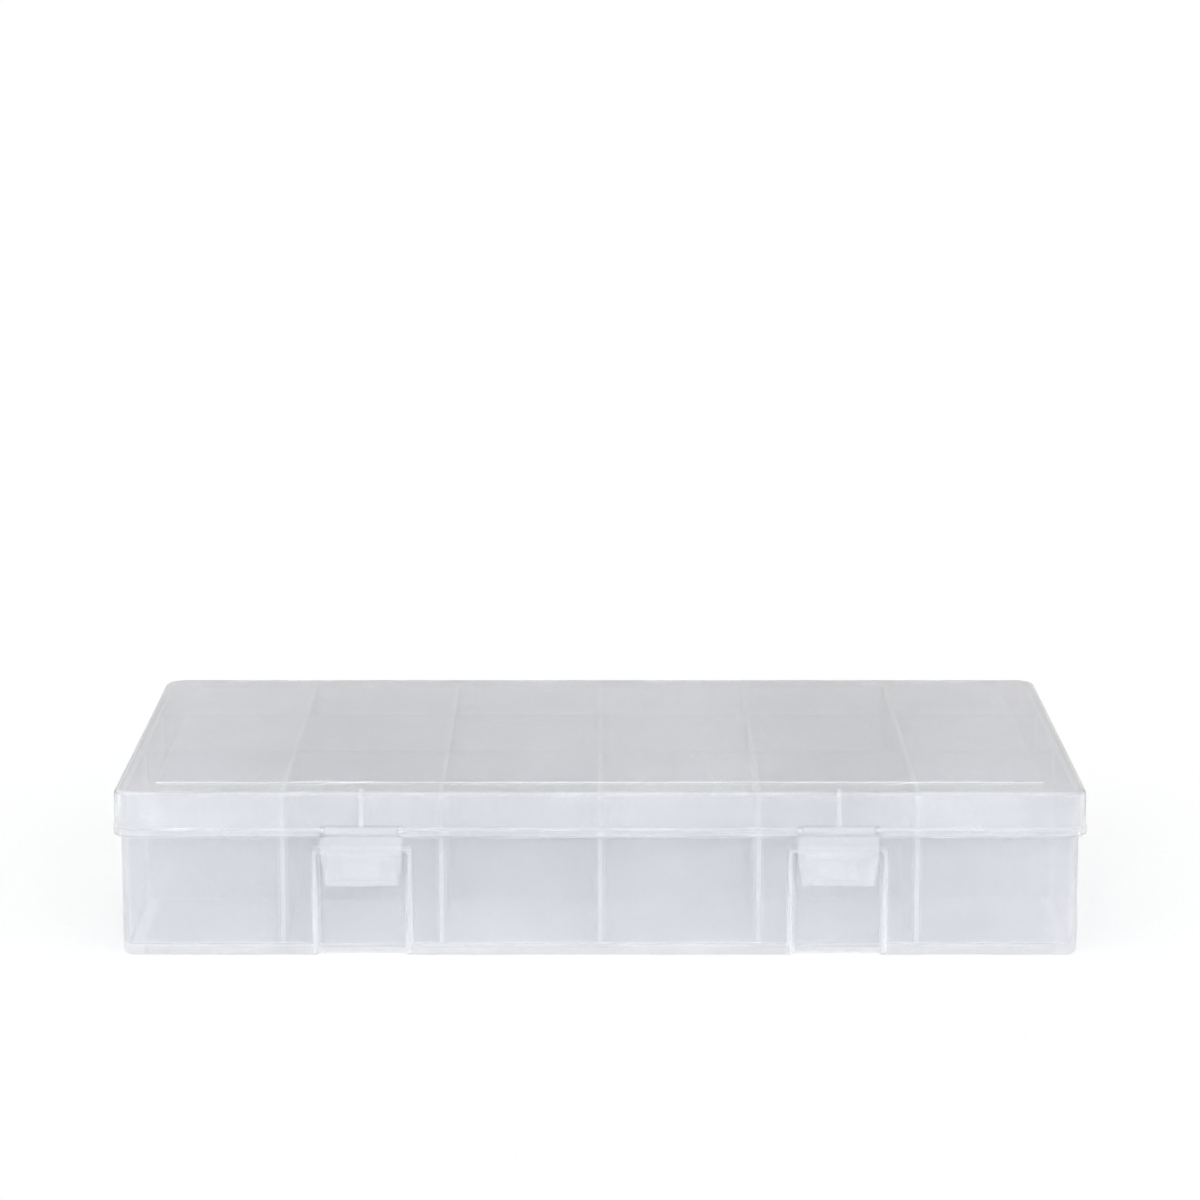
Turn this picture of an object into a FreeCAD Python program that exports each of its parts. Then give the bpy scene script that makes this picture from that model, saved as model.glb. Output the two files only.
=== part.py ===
import FreeCAD, Part
import math
import os

from FreeCAD import Vector

# A moulded compartment box with a hinged lid, in millimetres.
# X runs to the right, Y from the front to the back, Z up from the table.

# Overall
box_width = 325.0          # across the rim bead of the lid
box_depth = 185.0          # across the rim bead of the lid
lid_height = 56.7          # table to the border of the lid's top
rim_height = 41.5          # table to the lower edge of the lid

# Base shell
base_wall = 1.8
base_corner = 4.5          # radius of the upright outer corners
base_edge = 2.0            # rounding under the outer walls
floor_thickness = 1.8
floor_fillet = 1.5
corner_margin = 0.2        # the upright inner corners are at least this much rounder than the floor's edge
foot_height = 1.6          # the middle of the floor is raised off the table by this much
foot_width = 6.5           # band round the underside that the box stands on

# Lid shell
lid_thickness = 1.6
skirt_wall = 1.5
lid_corner = 7.3           # radius of the upright outer corners
lid_edge = 1.7             # rounding round the lid's top
rim_bead_height = 2.5
rim_bead_proud = 0.25
skirt_clearance = 0.85     # between the skirt and the base walls
seat_clearance = 0.2       # between the base walls and the lid's underside
panel_inset = 13.5         # border round the raised panel
panel_rise = 0.6
panel_edge = 0.3
panel_hollow = 0.4         # depth of the shallow hollow under the panel
lid_rib_width = 1.5        # short rib over the lid's front edge, above each latch
lid_rib_proud = 0.45
lid_rib_reach = 5.5        # on the lid's top, back from the front face
lid_rib_gap = 0.8          # between the rib's lower end and the latch's notch

# Compartments
columns = 6
rows = 3
row_wall = 1.6
divider_thickness = 1.6
divider_drop = 0.4         # the dividers end this far below the walls
divider_corner = 2.0       # rounding of the dividers' upper corners
slot_clearance = 0.12      # beside and at the ends of a divider
slot_rib_width = 0.9
slot_rib_depth = 1.0
slot_rib_drop = 3.0        # the ribs end this far below the walls
slot_rib_lead = 2.0        # sloped upper end of a rib
slot_rib_lift = 0.2        # the ribs start this far above the rounding of the floor

# Finger recesses in the front wall, one under each latch
latch_column = 2           # counted from either side
recess_flat = 26.5         # width of the flat back of a recess
recess_depth = 3.0
ledge_drop = 5.8           # from the lid's lower edge to the ledge that the latch hooks under
recess_corner = 2.5

# Latches
latch_width = 27.0
latch_tip_width = 23.8
latch_length = 19.0        # from the pivot to the lower end
latch_tip_corner = 1.7
latch_taper_length = 9.8   # lower stretch over which the sides draw in
latch_plate = 1.5
latch_bevel_height = 2.0   # lower end, which falls back
latch_bevel = 0.6
latch_axis_rise = 2.1      # pivot above the lid's lower edge
latch_axis_inset = 0.55    # pivot behind the front of the rim bead
latch_barrel = 2.5         # diameter
latch_barrel_length = 24.0
latch_neck = 0.9           # thickness of the web under the barrel
latch_groove = 0.75        # open line between the barrel and the plate
latch_gap = 0.35           # between the latch and the notch in the skirt
trunnion = 1.3             # diameter of the latch's own pivot pins
trunnion_length = 1.2
running_clearance = 0.08   # radial, of a pin that turns
nose_rise = 1.1            # the nose starts this far above the hook
nose_lift = 1.9            # and ends this far above the latch's lower end
nose_width = 23.0
nose_clearance = 0.4       # between the nose and the front wall
hook_height = 2.6
hook_bite = 0.8            # the hook reaches this far under the ledge
hook_clearance = 0.3       # below the ledge
pad_width = 12.6           # thicker middle of the nose
pad_proud = 0.8

# Hinges at the back
hinge_inset = 55.0         # from the base's sides to the middle of a hinge
hinge_barrel = 4.0         # diameter
hinge_pin = 2.0            # diameter
hinge_gap = 0.4            # round the barrels, to the back wall and the rim
base_knuckle = 10.0
lid_knuckle = 6.0
knuckle_gap = 0.3
knuckle_web = 5.0          # the base knuckle's web runs this far down the wall from the axis
pin_seat_clearance = 0.02  # radial, of the pin in the base knuckle

# Sizes that follow
skirt_width = box_width - 2 * rim_bead_proud
skirt_depth = box_depth - 2 * rim_bead_proud
base_inset = skirt_wall + skirt_clearance
base_width = skirt_width - 2 * base_inset
base_depth = skirt_depth - 2 * base_inset
lid_underside = lid_height - lid_thickness
wall_top = lid_underside - seat_clearance
floor_top = foot_height + floor_thickness
inner_width = base_width - 2 * base_wall
inner_depth = base_depth - 2 * base_wall
column_pitch = (inner_width + divider_thickness) / columns
row_pitch = (inner_depth + row_wall) / rows
lane_depth = row_pitch - row_wall
lane_corner = max(base_corner - base_wall, floor_fillet + corner_margin)
rim_front = -box_depth / 2
skirt_front = -skirt_depth / 2
wall_front = -base_depth / 2
latch_axis_y = rim_front + latch_axis_inset
latch_axis_z = rim_height + latch_axis_rise
latch_tip = latch_axis_z - latch_length
notch_top = latch_axis_z + latch_barrel / 2 + latch_gap
ledge_height = rim_height - ledge_drop
hinge_axis_y = base_depth / 2 + hinge_gap + hinge_barrel / 2
hinge_axis_z = rim_height - hinge_gap - hinge_barrel / 2
hinge_x = base_width / 2 - hinge_inset
latch_x = (columns / 2 - latch_column + 0.5) * column_pitch
divider_places = [(i - columns / 2) * column_pitch for i in range(1, columns)]
lane_places = [(j - (rows - 1) / 2) * row_pitch for j in range(rows)]

overshoot = 1.0            # cutting solids run this far past the faces they open


def edges_at_height(solid, z):
    return [e for e in solid.Edges if all(abs(v.Z - z) < 1e-6 for v in e.Vertexes)]


def edges_along(solid, axis):
    def runs_along(edge):
        if len(edge.Vertexes) != 2:
            return False
        span = edge.Vertexes[1].Point - edge.Vertexes[0].Point
        return abs(abs(span.dot(axis)) - span.Length) < 1e-6

    return [e for e in solid.Edges if runs_along(e)]


def block(width, depth, foot, top, centre_x=0.0, centre_y=0.0):
    corner = Vector(centre_x - width / 2, centre_y - depth / 2, foot)
    return Part.makeBox(width, depth, top - foot, corner)


def rounded_block(width, depth, foot, top, radius, centre_y=0.0):
    solid = block(width, depth, foot, top, centre_y=centre_y)
    return solid.makeFillet(radius, edges_along(solid, Vector(0, 0, 1)))


def rod(diameter, start_x, end_x, y, z):
    return Part.makeCylinder(diameter / 2, end_x - start_x, Vector(start_x, y, z), Vector(1, 0, 0))


def side_prism(points, start_x, end_x):
    """A solid with the given outline in the YZ plane, between two places along X."""
    corners = [Vector(start_x, y, z) for y, z in points]
    face = Part.Face(Part.makePolygon(corners + corners[:1]))
    return face.extrude(Vector(end_x - start_x, 0, 0))


def recess_block(centre_x, face_y, flat, depth, top, corner):
    """The room of a finger recess: flat at the back, with an S-curve on each side and round upper corners."""
    bend = depth / 2
    lead = bend / 30       # the first bend starts this far outside the face, so that it cuts it cleanly
    front, middle, back = face_y - lead, face_y - lead + bend, face_y - lead + depth
    turn = bend * math.sqrt(0.5)
    outline = []
    for side in (-1, 1):
        inner = centre_x + side * flat / 2
        outer = inner + side * depth
        outline.append([
            Vector(outer, front, 0),
            Vector(outer - side * turn, middle - turn, 0),
            Vector(outer - side * bend, middle, 0),
            Vector(inner + side * turn, middle + turn, 0),
            Vector(inner, back, 0),
        ])
    left, right = outline
    edges = [
        Part.Arc(*left[0:3]).toShape(),
        Part.Arc(*left[2:5]).toShape(),
        Part.LineSegment(left[4], right[4]).toShape(),
        Part.Arc(right[4], right[3], right[2]).toShape(),
        Part.Arc(right[2], right[1], right[0]).toShape(),
        Part.LineSegment(right[0], left[0]).toShape(),
    ]
    plan = Part.Face(Part.Wire(edges))
    plan.translate(Vector(0, 0, -overshoot))
    room = plan.extrude(Vector(0, 0, top + overshoot))
    gate = block(flat + 2 * depth, 4 * depth, -overshoot, top, centre_x, face_y)
    upper = [e for e in edges_along(gate, Vector(0, 1, 0)) if e.Vertexes[0].Z > 0]
    return room.common(gate.makeFillet(corner, upper))


def slot_ribs(lane_y):
    """Pairs of upright ribs on both long faces of a lane, one pair for each end of a divider."""
    foot = floor_top + floor_fillet + slot_rib_lift
    top = wall_top - slot_rib_drop
    offset = divider_thickness / 2 + slot_clearance
    ribs = []
    for facing in (-1, 1):
        face = lane_y + facing * lane_depth / 2
        tip = face - facing * slot_rib_depth
        root = face + facing * row_wall / 4
        outline = [(root, foot), (tip, foot), (tip, top - slot_rib_lead), (face, top), (root, top)]
        for place in divider_places:
            for side in (-1, 1):
                start = place + side * offset
                end = start + side * slot_rib_width
                ribs.append(side_prism(outline, min(start, end), max(start, end)))
    return ribs


def make_base_tray():
    shell = rounded_block(base_width, base_depth, 0, wall_top, base_corner)
    shell = shell.makeFillet(base_edge, edges_at_height(shell, 0))
    bulges = []
    for centre in (-latch_x, latch_x):
        shell = shell.cut(
            recess_block(centre, wall_front, recess_flat, recess_depth, ledge_height, recess_corner)
        )
        bulges.append(recess_block(
            centre, wall_front + base_wall, recess_flat + 2 * base_wall, recess_depth,
            ledge_height + base_wall, recess_corner,
        ))
    sole_width = base_width - 2 * foot_width
    sole_depth = base_depth - 2 * foot_width
    shell = shell.cut(rounded_block(sole_width, sole_depth, -overshoot, foot_height, base_corner))
    for lane_y in lane_places:
        room = rounded_block(
            inner_width, lane_depth, floor_top, wall_top + overshoot, lane_corner, lane_y
        )
        room = room.makeFillet(floor_fillet, edges_at_height(room, floor_top))
        shell = shell.cut(room.cut(slot_ribs(lane_y) + bulges))
    back = base_depth / 2
    web = [
        (back - base_wall / 2, hinge_axis_z + hinge_barrel / 4),
        (hinge_axis_y, hinge_axis_z + hinge_barrel / 4),
        (hinge_axis_y - hinge_barrel / 4, hinge_axis_z - hinge_barrel / 4),
        (back, hinge_axis_z - knuckle_web),
        (back - base_wall / 2, hinge_axis_z - knuckle_web),
    ]
    half = base_knuckle / 2
    for place in (-hinge_x, hinge_x):
        knuckle = rod(hinge_barrel, place - half, place + half, hinge_axis_y, hinge_axis_z)
        knuckle = knuckle.fuse(side_prism(web, place - half, place + half))
        bore = rod(
            hinge_pin + 2 * pin_seat_clearance, place - half - overshoot, place + half + overshoot,
            hinge_axis_y, hinge_axis_z,
        )
        shell = shell.fuse(knuckle).cut(bore)
    return shell.removeSplitter()


def make_divider(place, lane_y):
    """A plate with bevelled lower corners, which clear the rounding of the floor, and round upper ones."""
    length = lane_depth - 2 * slot_clearance
    plate = block(divider_thickness, length, floor_top, wall_top - divider_drop, place, lane_y)
    ends = edges_along(plate, Vector(1, 0, 0))
    lower = [e for e in ends if e.Vertexes[0].Z < (floor_top + wall_top) / 2]
    plate = plate.makeChamfer(floor_fillet + slot_clearance, lower)
    ends = edges_along(plate, Vector(1, 0, 0))
    upper = [e for e in ends if abs(e.Vertexes[0].Z - (wall_top - divider_drop)) < 1e-6]
    return plate.makeFillet(divider_corner, upper)


def lid_ribs():
    """Short ribs that lie over the lid's front edge."""
    foot, top = notch_top + lid_rib_gap, lid_height + lid_rib_proud
    front, back = skirt_front - lid_rib_proud, skirt_front + lid_rib_reach
    ribs = []
    for centre in (-latch_x, latch_x):
        rib = block(lid_rib_width, back - front, foot, top, centre, (front + back) / 2)
        brow = [
            e for e in edges_along(rib, Vector(1, 0, 0))
            if e.Vertexes[0].Z > foot + 1e-6 and e.Vertexes[0].Y < back - 1e-6
        ]
        ribs.append(rib.makeFillet(min(lid_edge + lid_rib_proud, (top - foot) / 2), brow))
    return ribs


def latch_mounts(lid):
    """Notches in the skirt for the latches, each with a knuckle at both ends that holds a trunnion."""
    notch_width = latch_width + 2 * latch_gap
    skirt_back = skirt_front + skirt_wall
    bore = trunnion + 2 * running_clearance
    for centre in (-latch_x, latch_x):
        lid = lid.cut(block(
            notch_width, 2 * (skirt_back - rim_front), rim_height - overshoot, notch_top,
            centre, rim_front,
        ))
        for side in (-1, 1):
            near = centre + side * (latch_barrel_length / 2 + latch_gap)
            far = centre + side * notch_width / 2
            start, end = min(near, far), max(near, far)
            knuckle = rod(latch_barrel, start, end, latch_axis_y, latch_axis_z)
            hanger = Part.makeBox(
                end - start, skirt_back - latch_axis_y, notch_top - latch_axis_z,
                Vector(start, latch_axis_y, latch_axis_z),
            )
            lid = lid.fuse([knuckle, hanger])
            inward = near - side * overshoot
            blind = near + side * (trunnion_length + running_clearance)
            lid = lid.cut(rod(
                bore, min(inward, blind), max(inward, blind), latch_axis_y, latch_axis_z
            ))
    return lid


def lid_hinge_knuckles(lid):
    skirt_inside = skirt_depth / 2 - skirt_wall
    root = box_depth / 2 - skirt_inside
    bore = hinge_pin + 2 * running_clearance
    for place in (-hinge_x, hinge_x):
        for side in (-1, 1):
            near = place + side * (base_knuckle / 2 + knuckle_gap)
            far = near + side * lid_knuckle
            start, end = min(near, far), max(near, far)
            knuckle = rod(hinge_barrel, start, end, hinge_axis_y, hinge_axis_z)
            hanger = Part.makeBox(
                end - start, root, rim_height + rim_bead_height / 2 - hinge_axis_z,
                Vector(start, skirt_inside, hinge_axis_z),
            )
            hole = rod(bore, start - knuckle_gap, end + knuckle_gap, hinge_axis_y, hinge_axis_z)
            lid = lid.fuse(knuckle.fuse(hanger).cut(hole))
    return lid


def make_lid():
    shell = rounded_block(skirt_width, skirt_depth, rim_height, lid_height, lid_corner)
    shell = shell.makeFillet(lid_edge, edges_at_height(shell, lid_height))
    bead_top = rim_height + rim_bead_height
    shell = shell.fuse(
        rounded_block(box_width, box_depth, rim_height, bead_top, lid_corner + rim_bead_proud)
    )
    panel_width = skirt_width - 2 * panel_inset
    panel_depth = skirt_depth - 2 * panel_inset
    panel = block(panel_width, panel_depth, lid_underside, lid_height + panel_rise)
    panel = panel.makeFillet(panel_edge, edges_at_height(panel, lid_height + panel_rise))
    shell = shell.fuse([panel] + lid_ribs())
    room_width = skirt_width - 2 * skirt_wall
    room_depth = skirt_depth - 2 * skirt_wall
    shell = shell.cut(rounded_block(
        room_width, room_depth, rim_height - overshoot, lid_underside, lid_corner - skirt_wall
    ))
    step = 2 * panel_rise
    shell = shell.cut(block(
        panel_width - step, panel_depth - step, lid_underside - overshoot, lid_underside + panel_hollow
    ))
    return lid_hinge_knuckles(latch_mounts(shell)).removeSplitter()


def make_latch(centre):
    outer = latch_axis_y - latch_plate / 2
    inner = outer + latch_plate
    plate_top = latch_axis_z - latch_barrel / 2 - latch_groove
    taper_top = latch_tip + latch_taper_length
    section = [
        (outer, plate_top),
        (outer, latch_tip + latch_bevel_height),
        (outer + latch_bevel, latch_tip),
        (inner, latch_tip),
        (inner, plate_top),
    ]
    half, tip_half = latch_width / 2, latch_tip_width / 2
    plate = side_prism(section, centre - half, centre + half)
    corners = [
        Vector(centre + x, outer - overshoot, z) for x, z in (
            (-half, plate_top), (-half, taper_top), (-tip_half, latch_tip),
            (tip_half, latch_tip), (half, taper_top), (half, plate_top),
        )
    ]
    through = Vector(0, latch_plate + 2 * overshoot, 0)
    shield = Part.Face(Part.makePolygon(corners + corners[:1])).extrude(through)
    tips = [e for e in edges_along(shield, Vector(0, 1, 0)) if abs(e.Vertexes[0].Z - latch_tip) < 1e-6]
    plate = plate.common(shield.makeFillet(latch_tip_corner, tips))

    hook_top = ledge_height - hook_clearance
    hook_foot = hook_top - hook_height
    hook_back = wall_front + hook_bite
    nose_foot = latch_tip + nose_lift
    nose_back = wall_front - nose_clearance
    nose = block(
        nose_width, nose_back - latch_axis_y, nose_foot, hook_top + nose_rise,
        centre, (nose_back + latch_axis_y) / 2,
    )
    hook = side_prism(
        [(latch_axis_y, hook_foot), (latch_axis_y, hook_top), (hook_back, hook_top),
         (hook_back, hook_top - hook_height / 3), (nose_back, hook_foot)],
        centre - nose_width / 2, centre + nose_width / 2,
    )
    pad_back = nose_back + pad_proud
    pad = side_prism(
        [(latch_axis_y, nose_foot), (latch_axis_y, hook_foot), (pad_back, hook_foot),
         (pad_back, nose_foot + pad_proud), (nose_back, nose_foot)],
        centre - pad_width / 2, centre + pad_width / 2,
    )
    half_barrel = latch_barrel_length / 2
    barrel = rod(
        latch_barrel, centre - half_barrel, centre + half_barrel, latch_axis_y, latch_axis_z
    )
    pin_half = half_barrel + latch_gap + trunnion_length
    pins = rod(trunnion, centre - pin_half, centre + pin_half, latch_axis_y, latch_axis_z)
    neck = block(
        latch_barrel_length, latch_neck, plate_top - latch_groove, latch_axis_z,
        centre, inner - latch_neck / 2,
    )
    return plate.fuse([nose, hook, pad, barrel, pins, neck]).removeSplitter()


def make_hinge_pin(place):
    half = base_knuckle / 2 + knuckle_gap + lid_knuckle
    return rod(hinge_pin, place - half, place + half, hinge_axis_y, hinge_axis_z)


def main():
    os.makedirs("parts", exist_ok=True)
    nodes = {
        "base_tray": make_base_tray(),
        "lid": make_lid(),
        "latch_left": make_latch(-latch_x),
        "latch_right": make_latch(latch_x),
    }
    for side, place in zip(("left", "right"), (-hinge_x, hinge_x)):
        nodes[f"hinge_pin_{side}"] = make_hinge_pin(place)
    for row, lane_y in enumerate(lane_places, 1):
        for column, place in enumerate(divider_places, 1):
            nodes[f"divider_{row}_{column}"] = make_divider(place, lane_y)
    for name, shape in nodes.items():
        solids = shape.Solids
        print(name, len(solids), shape.isValid(), round(shape.Volume, 1))
        solids[0].exportStep(f"parts/{name}.step")


main()
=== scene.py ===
import math

import bpy
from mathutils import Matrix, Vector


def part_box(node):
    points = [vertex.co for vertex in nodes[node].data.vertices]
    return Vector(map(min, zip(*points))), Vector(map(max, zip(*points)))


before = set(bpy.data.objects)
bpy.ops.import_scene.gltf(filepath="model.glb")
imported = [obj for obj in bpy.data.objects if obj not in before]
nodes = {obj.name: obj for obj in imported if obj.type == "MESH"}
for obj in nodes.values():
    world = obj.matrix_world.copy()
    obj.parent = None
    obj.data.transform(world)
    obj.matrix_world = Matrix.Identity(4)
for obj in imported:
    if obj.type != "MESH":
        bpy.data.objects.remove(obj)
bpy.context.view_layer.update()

scene = bpy.context.scene

# Places on the part in metres, measured from the boxes of its pieces
PANEL_INSET = 0.01115           # raised panel of the lid, from the tray's walls
PANEL_DROP = 0.0011             # from the panel's face to just below its step
PANEL_LINE = 0.0005             # half width of the line round the panel
BEAD_DROP = 0.0133              # from the panel's face to the top of the bead round the lid's rim
BEAD_HALF = 0.0003
RIB_HALF = 0.0008               # short rib of the lid above each latch
RIB_REACH = 0.0033              # back from the tray's front wall
RECESS_GAP = 0.00175            # from a latch to the side walls of its finger recess
RECESS_RISE = 0.0106            # from a latch's lower end to the ledge of its finger recess
RECESS_REACH = 0.0054           # back from the tray's front wall
RECESS_EDGE = 0.0010            # half width of the white edge round a recess

tray_low, tray_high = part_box("base_tray")
latch_low, latch_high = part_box("latch_right")
lid_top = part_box("lid")[1].z
panel_half = (tray_high.x - PANEL_INSET, -tray_low.y - PANEL_INSET)
panel_foot = lid_top - PANEL_DROP
bead_top = lid_top - BEAD_DROP
rib_back = tray_low.y + RIB_REACH
latch_middle = (latch_low.x + latch_high.x) / 2
recess_half = latch_high.x - latch_middle + RECESS_GAP
recess_top = latch_low.z + RECESS_RISE
recess_back = tray_low.y + RECESS_REACH

# Painted highlight: how much whiter the plastic is painted where it is thick or turns an edge, in
# place of the light that these places catch
LINE_PAINTED_HIGHLIGHT = 0.16
BORDER_PAINTED_HIGHLIGHT = 0.12             # smooth border round the panel, painted lighter as a highlight
RIB_PAINTED_HIGHLIGHT = 0.32
BEAD_PAINTED_HIGHLIGHT = 0.3
RECESS_PAINTED_HIGHLIGHT = 0.5
# Colour of the painted highlight
PAINTED_HIGHLIGHT_COLOUR = (0.97, 0.97, 0.985, 1)
PAINTED_HIGHLIGHT_CLEAR = 0.4                # transmission where the painted highlight is strongest

# Polypropylene: cloudy in the body and grained on the skin
PLASTIC_IOR = 1.49
CLOUD_SCALE = 34.0
GRAIN_SCALE = 900.0
CLOUD_SHARE = 0.4
GRAIN_SHARE = 0.6
MOTTLE_RANGE = (0.35, 0.65)     # of the noise, from the darkest to the lightest shade
MOTTLE_SHADES = (0.965, 1.03)   # times the tint
GLOSS_RANGE = (0.3, 0.7)        # of the clouds, from the smoothest to the roughest skin
GLOSS_SPREAD = (0.8, 1.2)       # times the roughness
GRAIN_DEPTH = 0.0001

# Studio
TABLE_SIZE = 20
TABLE_WHITE = (0.99, 0.99, 0.99, 1)
TABLE_GLOW = 0.4                # share of plain white in what the camera sees of the table
AMBIENT = 0.52
AMBIENT_TINT = (1.0, 0.988, 0.965, 1)
KEY = 1.42
KEY_TINT = (0.955, 0.977, 1.0, 1)
KEY_FROM = (0.0, -0.707, 0.707)
KEY_FALLOFF = 2.0

# Camera, fitted to the edges of the box in the photograph
SENSOR_MM = 36.0
LENS_MM = 126.0
CAMERA_AT = (0, -1.45032, 0.37737)
CAMERA_DOWN = 10.661            # degrees below the horizon

# Sockets of a Mix node that mixes colours
MIX_FIRST, MIX_SECOND, MIX_RESULT = 6, 7, 2


def add(tree, kind, **sockets):
    """A new node with the given values on its own sockets, named with _ for a space."""
    node = tree.nodes.new(kind)
    for name, value in sockets.items():
        node.inputs[name.replace("_", " ")].default_value = value
    return node


def new_tree(owner):
    """The empty node tree of a material or a world."""
    owner.use_nodes = True
    owner.node_tree.nodes.clear()
    return owner.node_tree


def maths(tree, operation, *values):
    """A Math node whose inputs are sockets or numbers."""
    node = tree.nodes.new("ShaderNodeMath")
    node.operation = operation
    for slot, value in zip(node.inputs, values):
        if isinstance(value, (int, float)):
            slot.default_value = value
        else:
            tree.links.new(value, slot)
    return node.outputs["Value"]


def all_of(tree, first, *rest):
    """1 where every mask is 1."""
    for mask in rest:
        first = maths(tree, "MULTIPLY", first, mask)
    return first


def beyond_panel(tree, x, y):
    """How far a place is outside the border of the lid's raised panel, negative on the panel."""
    return maths(
        tree, "MAXIMUM",
        maths(tree, "SUBTRACT", maths(tree, "ABSOLUTE", x), panel_half[0]),
        maths(tree, "SUBTRACT", maths(tree, "ABSOLUTE", y), panel_half[1]),
    )


def panel_mask(tree, x, y, z):
    """1 on the lid's raised panel, 0 elsewhere."""
    return all_of(
        tree,
        maths(tree, "LESS_THAN", beyond_panel(tree, x, y), 0.0),
        maths(tree, "GREATER_THAN", z, panel_foot),
    )


def lid_painted_highlights(tree, x, y, z):
    """How strongly a painted highlight whitens the lid round its panel, on the ribs above the
    latches and on the rim's bead.
    """
    outside = beyond_panel(tree, x, y)
    top = maths(tree, "GREATER_THAN", z, panel_foot)
    line = all_of(tree, maths(tree, "COMPARE", outside, 0.0, PANEL_LINE), top)
    border = all_of(tree, maths(tree, "GREATER_THAN", outside, 0.0), top)
    rib = all_of(
        tree,
        maths(tree, "COMPARE", maths(tree, "ABSOLUTE", x), latch_middle, RIB_HALF),
        maths(tree, "LESS_THAN", y, rib_back),
    )
    bead = maths(tree, "COMPARE", z, bead_top, BEAD_HALF)
    # white holds the strength of the painted highlight on the lid
    white = maths(tree, "MULTIPLY", line, LINE_PAINTED_HIGHLIGHT)
    for mask, share in ((border, BORDER_PAINTED_HIGHLIGHT), (rib, RIB_PAINTED_HIGHLIGHT), (bead, BEAD_PAINTED_HIGHLIGHT)):
        white = maths(tree, "MAXIMUM", white, maths(tree, "MULTIPLY", mask, share))
    return white


def tray_painted_highlights(tree, x, y, z):
    """How strongly a painted highlight whitens the tray on the side walls and the ledge of the
    finger recesses.
    """
    across = maths(tree, "SUBTRACT", maths(tree, "ABSOLUTE", x), latch_middle)
    outside = maths(
        tree, "MAXIMUM",
        maths(tree, "SUBTRACT", maths(tree, "ABSOLUTE", across), recess_half),
        maths(tree, "SUBTRACT", z, recess_top),
    )
    recess = all_of(
        tree,
        maths(tree, "COMPARE", outside, 0.0, RECESS_EDGE),
        maths(tree, "LESS_THAN", y, recess_back),
    )
    # Painted highlight round the finger recesses
    return maths(tree, "MULTIPLY", recess, RECESS_PAINTED_HIGHLIGHT)


def polypropylene(name, tint, clear, density, roughness, stipple, painted_highlights=None, panel=None):
    """Natural polypropylene: a glossy clear skin over a body that scatters the light.

    The places given by the painted-highlight masks are painted whiter and less clear as a painted
    highlight, and panel gives the places with a stippled skin.
    """
    material = bpy.data.materials.new(name)
    tree = new_tree(material)
    out = add(tree, "ShaderNodeOutputMaterial")
    coords = add(tree, "ShaderNodeTexCoord")
    axes = add(tree, "ShaderNodeSeparateXYZ")
    tree.links.new(coords.outputs["Object"], axes.inputs["Vector"])
    place = [axes.outputs[axis] for axis in "XYZ"]
    skin = add(tree, "ShaderNodeBsdfPrincipled", Transmission_Weight=clear, IOR=PLASTIC_IOR)

    clouds = add(tree, "ShaderNodeTexNoise", Scale=CLOUD_SCALE, Detail=3.0, Roughness=0.55)
    tree.links.new(coords.outputs["Object"], clouds.inputs["Vector"])
    grain = add(tree, "ShaderNodeTexNoise", Scale=GRAIN_SCALE, Detail=2.0)
    tree.links.new(coords.outputs["Object"], grain.inputs["Vector"])
    mottle = maths(
        tree, "ADD",
        maths(tree, "MULTIPLY", clouds.outputs["Fac"], CLOUD_SHARE),
        maths(tree, "MULTIPLY", grain.outputs["Fac"], GRAIN_SHARE),
    )
    shades = add(tree, "ShaderNodeValToRGB")
    for stop, position, shade in zip(shades.color_ramp.elements, MOTTLE_RANGE, MOTTLE_SHADES):
        stop.position = position
        stop.color = (*[min(1.0, shade * c) for c in tint], 1)
    tree.links.new(mottle, shades.inputs["Fac"])
    colour = shades.outputs["Color"]

    # Painted highlight: the masked places are mixed towards a white colour and let less light
    # through
    if painted_highlights:
        mask = painted_highlights(tree, *place)
        painted_highlight_mix = tree.nodes.new("ShaderNodeMix")
        painted_highlight_mix.data_type = "RGBA"
        tree.links.new(mask, painted_highlight_mix.inputs["Factor"])
        tree.links.new(colour, painted_highlight_mix.inputs[MIX_FIRST])
        painted_highlight_mix.inputs[MIX_SECOND].default_value = PAINTED_HIGHLIGHT_COLOUR
        colour = painted_highlight_mix.outputs[MIX_RESULT]
        highlight_transmission = add(tree, "ShaderNodeMapRange", To_Min=clear, To_Max=PAINTED_HIGHLIGHT_CLEAR)
        tree.links.new(mask, highlight_transmission.inputs["Value"])
        tree.links.new(highlight_transmission.outputs["Result"], skin.inputs["Transmission Weight"])
    tree.links.new(colour, skin.inputs["Base Color"])

    gloss = add(
        tree, "ShaderNodeMapRange",
        From_Min=GLOSS_RANGE[0], From_Max=GLOSS_RANGE[1],
        To_Min=roughness * GLOSS_SPREAD[0], To_Max=roughness * GLOSS_SPREAD[1],
    )
    tree.links.new(clouds.outputs["Fac"], gloss.inputs["Value"])
    tree.links.new(gloss.outputs["Result"], skin.inputs["Roughness"])

    bump = add(tree, "ShaderNodeBump", Strength=stipple, Distance=GRAIN_DEPTH)
    tree.links.new(grain.outputs["Fac"], bump.inputs["Height"])
    if panel:
        strength = maths(tree, "MULTIPLY", panel(tree, *place), stipple)
        tree.links.new(strength, bump.inputs["Strength"])
    tree.links.new(bump.outputs["Normal"], skin.inputs["Normal"])
    tree.links.new(skin.outputs["BSDF"], out.inputs["Surface"])

    if density:
        body = add(tree, "ShaderNodeVolumeScatter", Color=(1, 1, 1, 1), Density=density)
        tree.links.new(body.outputs["Volume"], out.inputs["Volume"])
    return material


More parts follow.
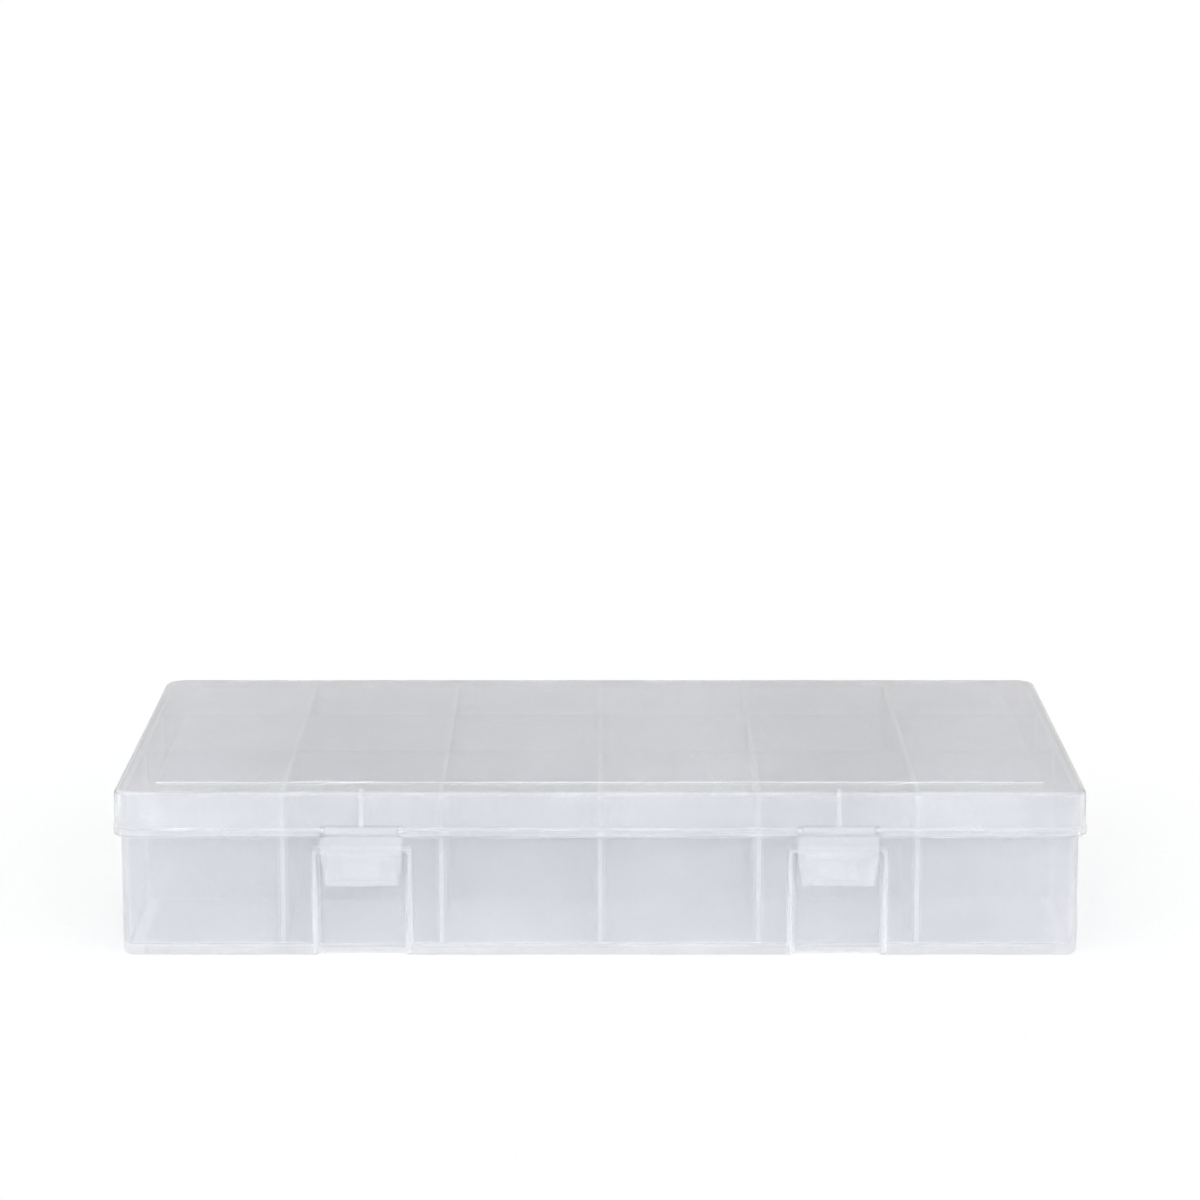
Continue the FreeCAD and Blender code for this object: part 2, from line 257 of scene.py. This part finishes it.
tray_plastic = polypropylene(
    "tray_polypropylene", tint=(0.905, 0.912, 0.935), clear=0.85, density=190.0,
    roughness=0.1, stipple=0.03, painted_highlights=tray_painted_highlights,
)
lid_plastic = polypropylene(
    "lid_polypropylene", tint=(0.955, 0.96, 0.972), clear=0.85, density=100.0,
    roughness=0.08, stipple=0.2, painted_highlights=lid_painted_highlights, panel=panel_mask,
)
divider_plastic = polypropylene(
    "divider_polypropylene", tint=(0.945, 0.945, 0.948), clear=0.12, density=0.0,
    roughness=0.12, stipple=0.03,
)
latch_plastic = polypropylene(
    "latch_polypropylene", tint=(0.925, 0.932, 0.955), clear=0.78, density=200.0,
    roughness=0.1, stipple=0.05,
)

for name, obj in nodes.items():
    if name == "lid":
        plastic = lid_plastic
    elif name.startswith("divider"):
        plastic = divider_plastic
    elif name.startswith("latch"):
        plastic = latch_plastic
    else:
        plastic = tray_plastic
    obj.data.materials.clear()
    obj.data.materials.append(plastic)

# White studio table, which keeps the shadow
bpy.ops.mesh.primitive_plane_add(size=TABLE_SIZE)
table = bpy.context.object
table.name = "table"
white = bpy.data.materials.new("table_white")
tree = new_tree(white)
paint = add(tree, "ShaderNodeBsdfDiffuse", Color=TABLE_WHITE)
glow = add(tree, "ShaderNodeEmission", Color=(1, 1, 1, 1), Strength=1.0)
rays = add(tree, "ShaderNodeLightPath")
seen = rays.outputs["Is Camera Ray"]
for ray in ("Is Glossy Ray", "Is Transmission Ray"):
    seen = maths(tree, "MAXIMUM", seen, rays.outputs[ray])
share = add(tree, "ShaderNodeMixShader")
tree.links.new(maths(tree, "MULTIPLY", seen, TABLE_GLOW), share.inputs[0])
tree.links.new(paint.outputs["BSDF"], share.inputs[1])
tree.links.new(glow.outputs["Emission"], share.inputs[2])
out = add(tree, "ShaderNodeOutputMaterial")
tree.links.new(share.outputs["Shader"], out.inputs["Surface"])
table.data.materials.append(white)

# Soft warm light all round, and a broad cool light from the front and above
world = bpy.data.worlds.new("studio")
scene.world = world
tree = new_tree(world)
coords = add(tree, "ShaderNodeTexCoord")
facing = add(tree, "ShaderNodeVectorMath")
facing.operation = "DOT_PRODUCT"
facing.inputs[1].default_value = KEY_FROM
tree.links.new(coords.outputs["Generated"], facing.inputs[0])
lobe = maths(tree, "POWER", maths(tree, "MAXIMUM", facing.outputs["Value"], 0.0), KEY_FALLOFF)
level = maths(tree, "ADD", maths(tree, "MULTIPLY", lobe, KEY), AMBIENT)
warmth = add(tree, "ShaderNodeValToRGB")
warm, cool = warmth.color_ramp.elements
warm.color = AMBIENT_TINT
cool.color = KEY_TINT
tree.links.new(lobe, warmth.inputs["Fac"])
sky = add(tree, "ShaderNodeBackground")
tree.links.new(warmth.outputs["Color"], sky.inputs["Color"])
tree.links.new(level, sky.inputs["Strength"])
out = add(tree, "ShaderNodeOutputWorld")
tree.links.new(sky.outputs["Background"], out.inputs["Surface"])

lens = bpy.data.cameras.new("camera")
lens.sensor_width = SENSOR_MM
lens.lens = LENS_MM
lens.clip_start = 0.01
camera = bpy.data.objects.new("camera", lens)
scene.collection.objects.link(camera)
camera.location = CAMERA_AT
camera.rotation_euler = (math.radians(90 - CAMERA_DOWN), 0, 0)
scene.camera = camera

# Light is followed through many walls, so that the plastic doesn't go dark
cycles = scene.cycles
cycles.max_bounces = 48
cycles.transmission_bounces = 48
cycles.glossy_bounces = 48
cycles.volume_bounces = 32
cycles.diffuse_bounces = 8
cycles.transparent_max_bounces = 32
cycles.caustics_reflective = True
cycles.caustics_refractive = True
cycles.sample_clamp_indirect = 0.0
cycles.blur_glossy = 0.0
scene.view_settings.view_transform = "Standard"
